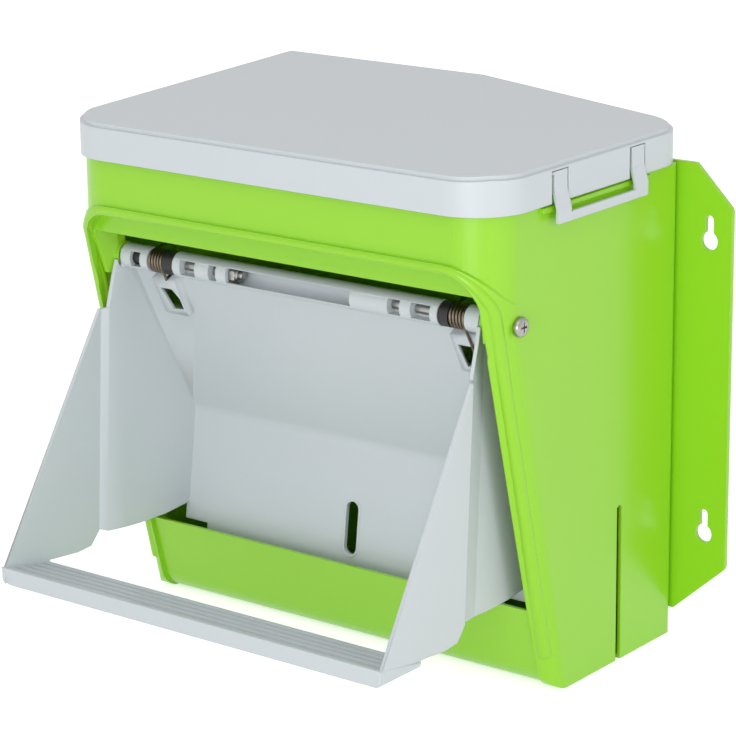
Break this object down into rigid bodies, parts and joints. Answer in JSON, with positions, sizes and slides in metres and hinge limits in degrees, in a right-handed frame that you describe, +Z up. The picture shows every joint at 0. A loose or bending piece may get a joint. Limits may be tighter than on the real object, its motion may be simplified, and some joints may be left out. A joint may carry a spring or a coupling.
{
  "type": "poultry feeder",
  "caption": "Wall-mounted poultry feeder: green tapered feed housing, grey lift-off lid with side clips and a sprung treadle flap with a perch bar.",
  "frame": {"origin": "on the wall plane, in the middle of the four keyholes", "axes": "+Z up, -Y out from the wall towards the bird, +X to the viewer's right"},
  "size_m": [0.396, 0.2905, 0.342],
  "materials": {
    "green_plastic": "satin",
    "grey_plastic": "satin",
    "zinc_steel": "satin",
    "spring_steel": "satin",
    "black_plastic": "matte"
  },
  "bodies": {
    "housing": {"hopper_housing": "green_plastic", "feed_baffle": "green_plastic", "hinge_bolt_left": "zinc_steel", "hinge_bolt_right": "zinc_steel", "lock_nut_left": "zinc_steel", "lock_nut_right": "zinc_steel"},
    "flap_unit": {"flap": "grey_plastic", "torsion_spring_left": "spring_steel", "torsion_spring_right": "spring_steel", "spring_bush_left": "black_plastic", "spring_bush_right": "black_plastic", "end_bush_left": "black_plastic", "end_bush_right": "black_plastic"},
    "lid_unit": {"lid": "grey_plastic"},
    "clip_left": {"lid_clip_left": "grey_plastic"},
    "clip_right": {"lid_clip_right": "grey_plastic"}
  },
  "joints": [
    {"name": "flap_hinge", "type": "hinge", "parent": "housing", "child": "flap_unit", "pos_m": [0, -0.175, 0.075], "axis": [1, 0, 0], "range_deg": [0, 20], "stiffness_Nm_per_rad": 1.2, "springref_deg": -34.38, "deforming": ["torsion_spring_left", "torsion_spring_right"]},
    {"name": "lid_lift", "type": "slide", "parent": "housing", "child": "lid_unit", "axis": [0, 0, 1], "range_m": [0, 0.09]},
    {"name": "clip_right_hinge", "type": "hinge", "parent": "lid_unit", "child": "clip_right", "pos_m": [0.1639, -0.09825, 0.1593], "axis": [0, -1, 0], "range_deg": [0, 30], "stiffness_Nm_per_rad": 0.3},
    {"name": "clip_left_hinge", "type": "hinge", "parent": "lid_unit", "child": "clip_left", "pos_m": [-0.1639, -0.09825, 0.1593], "axis": [0, 1, 0], "range_deg": [0, 30], "stiffness_Nm_per_rad": 0.3}
  ]
}
